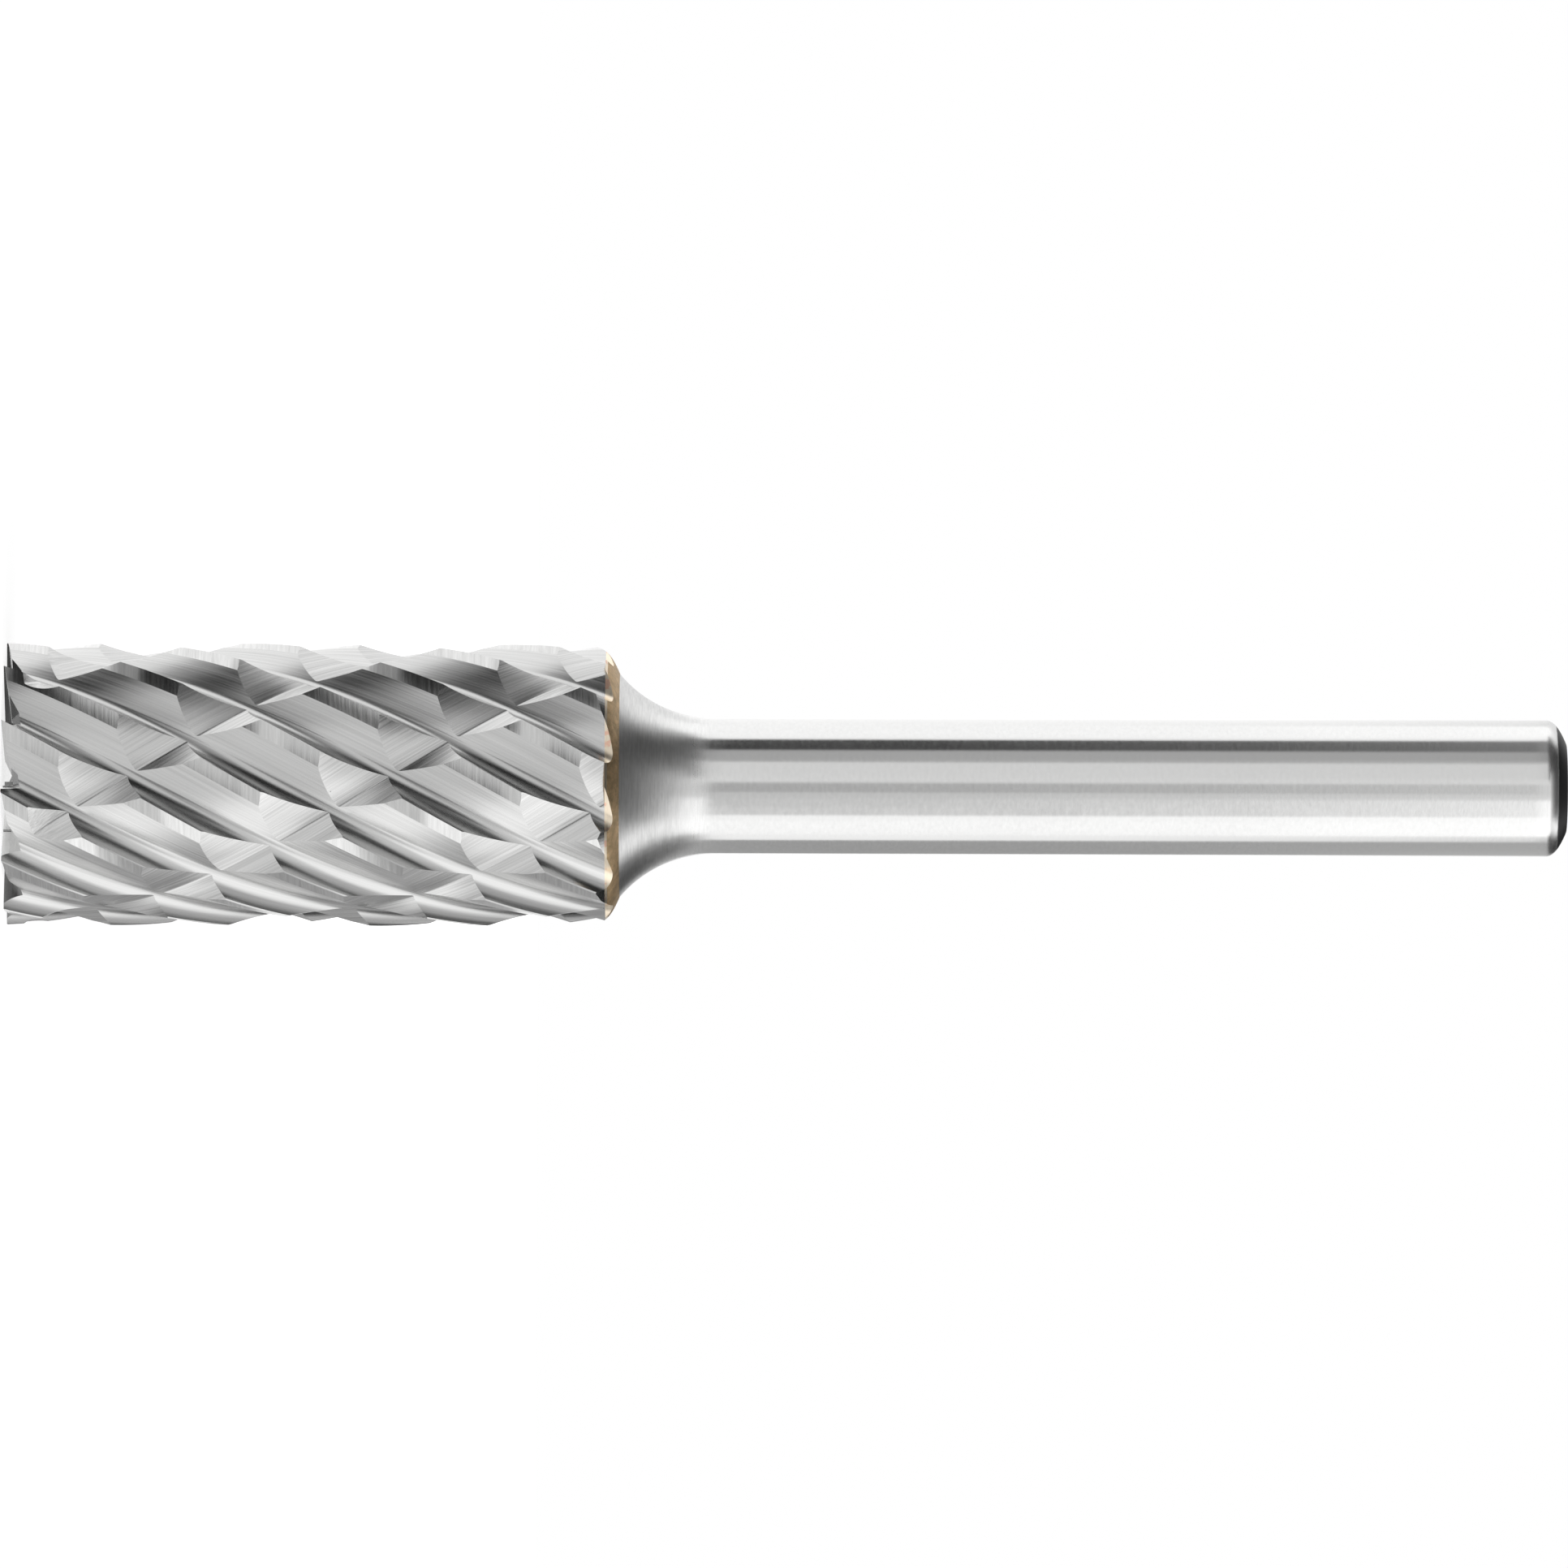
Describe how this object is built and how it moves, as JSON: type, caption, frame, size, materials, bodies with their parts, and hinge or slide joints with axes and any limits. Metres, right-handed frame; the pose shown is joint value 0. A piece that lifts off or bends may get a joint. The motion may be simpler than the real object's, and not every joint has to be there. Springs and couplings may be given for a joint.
{
  "type": "carbide burr",
  "caption": "Cylindrical rotary burr: a fluted carbide head with cross-cut chip breakers and end teeth, brazed to a plain steel shank.",
  "frame": {"origin": "on the tool's axis, at the tips of the end teeth that it stands on", "axes": "+Z along the axis from the head to the end of the shank; +X through the cutting edge of one end tooth"},
  "size_m": [0.0124, 0.0124, 0.0686],
  "materials": {
    "carbide": "ground along the flutes and across the lands",
    "braze": "satin, with ground scallops",
    "shank_steel": "fine ground, bright"
  },
  "bodies": {
    "root": {"burr_head": "carbide", "braze_joint": "braze", "shank": "shank_steel"}
  },
  "joints": []
}
